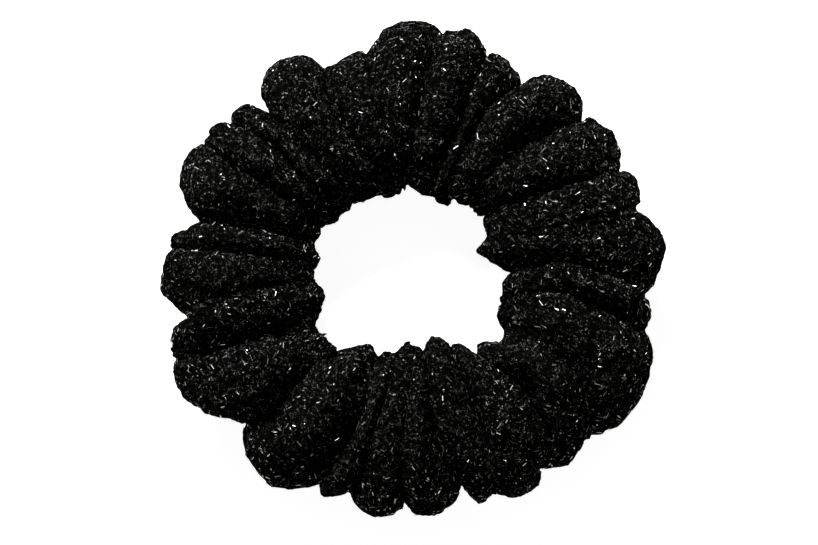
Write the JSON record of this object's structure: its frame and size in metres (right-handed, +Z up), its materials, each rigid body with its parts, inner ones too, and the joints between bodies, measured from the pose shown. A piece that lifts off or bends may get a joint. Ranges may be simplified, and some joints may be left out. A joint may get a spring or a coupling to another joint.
{
  "type": "scrunchie",
  "caption": "Round gathered fabric hair band, lying flat: a plush knit sleeve bunched over a loop of flat elastic.",
  "frame": {"origin": "centre of the ring on the plane that it rests on", "axes": "+Z up along the ring's axis, +Y towards twelve o'clock, where the sleeve and the elastic are sewn closed, +X towards three o'clock"},
  "size_m": [0.1102, 0.1101, 0.03],
  "materials": {
    "sleeve_knit": "black plush knit with silver metallic yarn",
    "elastic_cover": "black braided polyester",
    "elastic_rubber": "natural rubber, talc dusted",
    "sewing_thread": "black spun polyester thread"
  },
  "bodies": {
    "length_06": {"sleeve_06": "sleeve_knit", "elastic_braid_06": "elastic_cover", "rubber_strands_06": "elastic_rubber", "seam_thread_06": "sewing_thread"},
    "length_05": {"sleeve_05": "sleeve_knit", "elastic_braid_05": "elastic_cover", "rubber_strands_05": "elastic_rubber", "seam_thread_05": "sewing_thread"},
    "length_04": {"sleeve_04": "sleeve_knit", "elastic_braid_04": "elastic_cover", "rubber_strands_04": "elastic_rubber", "seam_thread_04": "sewing_thread"},
    "length_03": {"sleeve_03": "sleeve_knit", "elastic_braid_03": "elastic_cover", "rubber_strands_03": "elastic_rubber", "seam_thread_03": "sewing_thread"},
    "length_02": {"sleeve_02": "sleeve_knit", "elastic_braid_02": "elastic_cover", "rubber_strands_02": "elastic_rubber", "seam_thread_02": "sewing_thread"},
    "length_01": {"sleeve_01": "sleeve_knit", "elastic_braid_01": "elastic_cover", "rubber_strands_01": "elastic_rubber", "seam_thread_01": "sewing_thread"},
    "length_12_right": {"sleeve_12_right": "sleeve_knit", "elastic_braid_12_right": "elastic_cover", "rubber_strands_12_right": "elastic_rubber", "seam_thread_12_right": "sewing_thread"},
    "length_07": {"sleeve_07": "sleeve_knit", "elastic_braid_07": "elastic_cover", "rubber_strands_07": "elastic_rubber", "seam_thread_07": "sewing_thread"},
    "length_08": {"sleeve_08": "sleeve_knit", "elastic_braid_08": "elastic_cover", "rubber_strands_08": "elastic_rubber", "seam_thread_08": "sewing_thread"},
    "length_09": {"sleeve_09": "sleeve_knit", "elastic_braid_09": "elastic_cover", "rubber_strands_09": "elastic_rubber", "seam_thread_09": "sewing_thread"},
    "length_10": {"sleeve_10": "sleeve_knit", "elastic_braid_10": "elastic_cover", "rubber_strands_10": "elastic_rubber", "seam_thread_10": "sewing_thread"},
    "length_11": {"sleeve_11": "sleeve_knit", "elastic_braid_11": "elastic_cover", "rubber_strands_11": "elastic_rubber", "seam_thread_11": "sewing_thread"},
    "length_12_left": {"sleeve_12_left": "sleeve_knit", "elastic_braid_12_left": "elastic_cover", "rubber_strands_12_left": "elastic_rubber", "seam_thread_12_left": "sewing_thread", "elastic_bartack_thread": "sewing_thread", "closing_seam_stitches": "sewing_thread"}
  },
  "joints": [
    {"name": "stretch_06_to_05", "type": "slide", "parent": "length_06", "child": "length_05", "axis": [1, 0, 0], "range_m": [0, 0.0155], "stiffness_N_per_m": 300},
    {"name": "stretch_05_to_04", "type": "slide", "parent": "length_05", "child": "length_04", "axis": [1, 0, 0], "range_m": [0, 0.01135], "stiffness_N_per_m": 300},
    {"name": "stretch_04_to_03", "type": "slide", "parent": "length_04", "child": "length_03", "axis": [1, 0, 0], "range_m": [0, 0.00415], "stiffness_N_per_m": 300},
    {"name": "stretch_03_to_02", "type": "slide", "parent": "length_03", "child": "length_02", "axis": [-1, 0, 0], "range_m": [0, 0.00415], "stiffness_N_per_m": 300},
    {"name": "stretch_02_to_01", "type": "slide", "parent": "length_02", "child": "length_01", "axis": [-1, 0, 0], "range_m": [0, 0.01135], "stiffness_N_per_m": 300},
    {"name": "stretch_01_to_12_right", "type": "slide", "parent": "length_01", "child": "length_12_right", "axis": [-1, 0, 0], "range_m": [0, 0.0155], "stiffness_N_per_m": 300},
    {"name": "stretch_06_to_07", "type": "slide", "parent": "length_06", "child": "length_07", "axis": [-1, 0, 0], "range_m": [0, 0.0155], "stiffness_N_per_m": 300},
    {"name": "stretch_07_to_08", "type": "slide", "parent": "length_07", "child": "length_08", "axis": [-1, 0, 0], "range_m": [0, 0.01135], "stiffness_N_per_m": 300},
    {"name": "stretch_08_to_09", "type": "slide", "parent": "length_08", "child": "length_09", "axis": [-1, 0, 0], "range_m": [0, 0.00415], "stiffness_N_per_m": 300},
    {"name": "stretch_09_to_10", "type": "slide", "parent": "length_09", "child": "length_10", "axis": [1, 0, 0], "range_m": [0, 0.00415], "stiffness_N_per_m": 300},
    {"name": "stretch_10_to_11", "type": "slide", "parent": "length_10", "child": "length_11", "axis": [1, 0, 0], "range_m": [0, 0.01135], "stiffness_N_per_m": 300},
    {"name": "stretch_11_to_12_left", "type": "slide", "parent": "length_11", "child": "length_12_left", "axis": [1, 0, 0], "range_m": [0, 0.0155], "stiffness_N_per_m": 300}
  ],
  "couplings": [
    {"joint": "stretch_05_to_04", "follows": "stretch_06_to_05", "ratio": 0.73205},
    {"joint": "stretch_04_to_03", "follows": "stretch_06_to_05", "ratio": 0.26795},
    {"joint": "stretch_03_to_02", "follows": "stretch_06_to_05", "ratio": 0.26795},
    {"joint": "stretch_02_to_01", "follows": "stretch_06_to_05", "ratio": 0.73205},
    {"joint": "stretch_01_to_12_right", "follows": "stretch_06_to_05", "ratio": 1},
    {"joint": "stretch_06_to_07", "follows": "stretch_06_to_05", "ratio": 1},
    {"joint": "stretch_07_to_08", "follows": "stretch_06_to_05", "ratio": 0.73205},
    {"joint": "stretch_08_to_09", "follows": "stretch_06_to_05", "ratio": 0.26795},
    {"joint": "stretch_09_to_10", "follows": "stretch_06_to_05", "ratio": 0.26795},
    {"joint": "stretch_10_to_11", "follows": "stretch_06_to_05", "ratio": 0.73205},
    {"joint": "stretch_11_to_12_left", "follows": "stretch_06_to_05", "ratio": 1}
  ]
}
